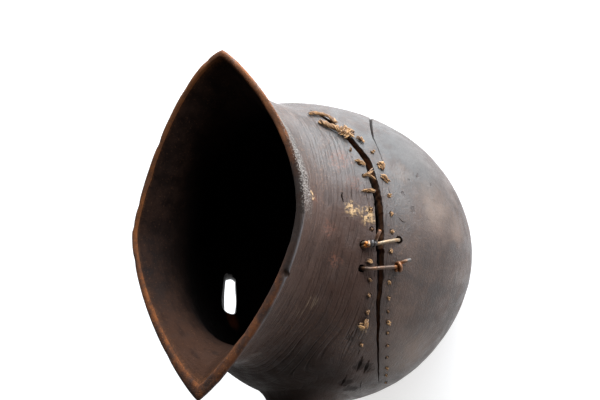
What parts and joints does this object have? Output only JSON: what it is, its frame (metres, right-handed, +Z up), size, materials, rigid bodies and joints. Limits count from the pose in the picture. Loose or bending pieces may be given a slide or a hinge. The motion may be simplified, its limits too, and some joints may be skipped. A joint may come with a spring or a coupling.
{
  "type": "carved wooden dipper cup",
  "caption": "Round-bellied cup carved from one piece of dark wood, with a pointed oval mouth, a side handle and a long crack stitched up with plant fibre and wire.",
  "frame": {"origin": "centre of the small flat on the bottom of the bowl that the cup stands on", "axes": "+Z up out of the mouth, +X along the handle away from the bowl, +Y towards the mended side with the crack and its stitches"},
  "size_m": [0.1857, 0.1144, 0.1101],
  "materials": {
    "dark_wood": "old smoke-dark carved wood, tool grooves along its length, satin where hands have worn it, brown on the lip",
    "wire": "tarnished copper-coloured wire, dull",
    "fibre": "dry tan plant fibre, frayed at the ends"
  },
  "bodies": {
    "root": {"carved_cup": "dark_wood", "wire_stitch_nose_side": "wire", "wire_stitch_handle_side": "wire", "fibre_knot": "fibre", "fibre_strand_long": "fibre", "fibre_strand_short": "fibre", "fibre_strand_under": "fibre", "stitch_plug_rim_side_1": "fibre", "stitch_plug_rim_side_2": "fibre", "stitch_plug_rim_side_3": "fibre", "stitch_plug_rim_side_4": "fibre", "stitch_plug_rim_side_5": "fibre", "stitch_plug_rim_side_6": "fibre", "stitch_plug_rim_side_7": "fibre", "stitch_plug_rim_side_8": "fibre", "stitch_plug_rim_side_9": "fibre", "stitch_plug_rim_side_10": "fibre", "stitch_plug_rim_side_11": "fibre", "stitch_plug_rim_side_12": "fibre", "stitch_plug_base_side_1": "fibre", "stitch_plug_base_side_2": "fibre", "stitch_plug_base_side_3": "fibre", "stitch_plug_base_side_4": "fibre", "stitch_plug_base_side_5": "fibre", "stitch_plug_base_side_6": "fibre", "stitch_plug_base_side_7": "fibre", "stitch_plug_base_side_8": "fibre", "stitch_plug_base_side_9": "fibre", "stitch_plug_base_side_10": "fibre", "stitch_plug_base_side_11": "fibre", "stitch_plug_base_side_12": "fibre", "stitch_plug_base_side_13": "fibre", "stitch_plug_base_side_14": "fibre", "stitch_plug_base_side_15": "fibre", "stitch_plug_base_side_16": "fibre", "stitch_plug_base_side_17": "fibre"}
  },
  "joints": []
}
